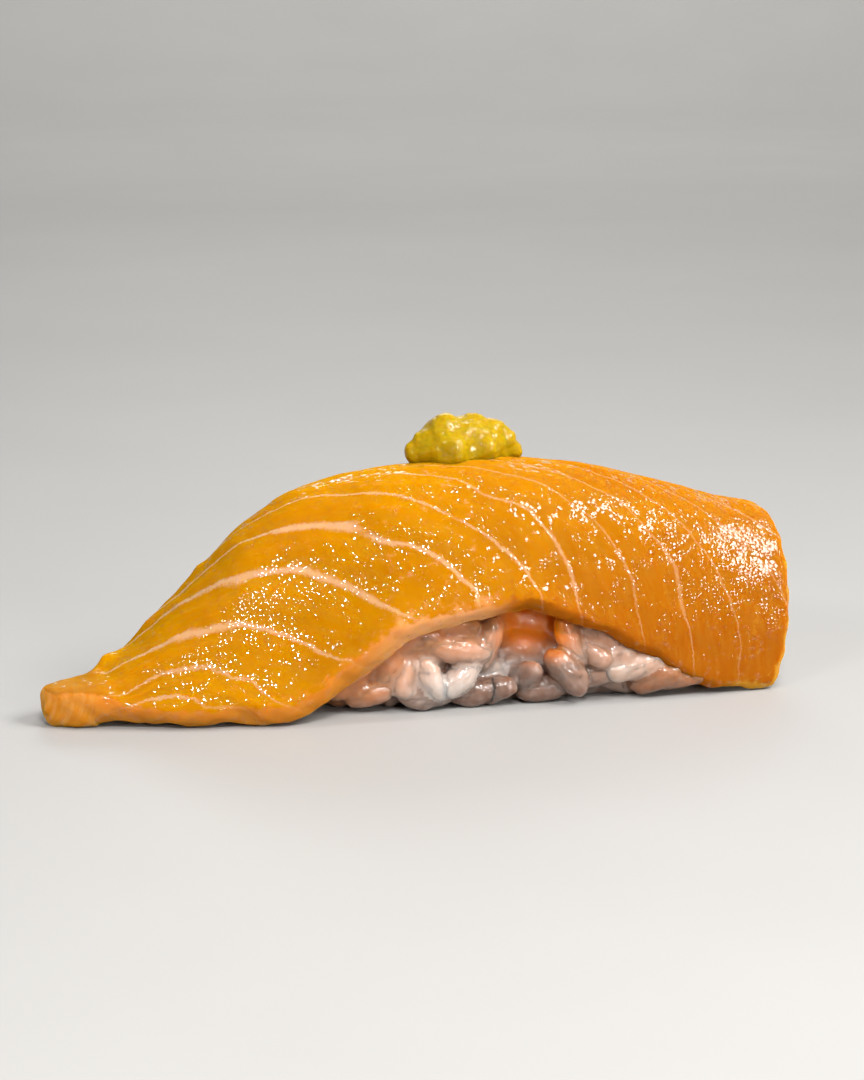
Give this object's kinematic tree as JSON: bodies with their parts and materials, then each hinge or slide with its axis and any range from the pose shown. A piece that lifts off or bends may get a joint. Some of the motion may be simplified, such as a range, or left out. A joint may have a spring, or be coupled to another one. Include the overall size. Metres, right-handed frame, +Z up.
{
  "type": "salmon nigiri",
  "caption": "Salmon nigiri: a slice of raw salmon with pale fat lines, draped over a finger of pressed rice, with a dab of green wasabi on its crest.",
  "frame": {"origin": "middle of the base of the bounding box, on the surface that it stands on", "axes": "+X along the slice towards its square-cut end, +Z up, -Y towards the side whose arched edge shows the rice"},
  "size_m": [0.0844, 0.0274, 0.0309],
  "materials": {
    "salmon_flesh": "wet, translucent yellow-orange flesh with paler lines of fat",
    "cooked_rice": "moist, translucent white grains with a pink tint under the slice",
    "wasabi_paste": "moist, craggy yellow-green paste"
  },
  "bodies": {
    "root": {"salmon_slice": "salmon_flesh", "sushi_rice": "cooked_rice", "wasabi_dab": "wasabi_paste"}
  },
  "joints": []
}
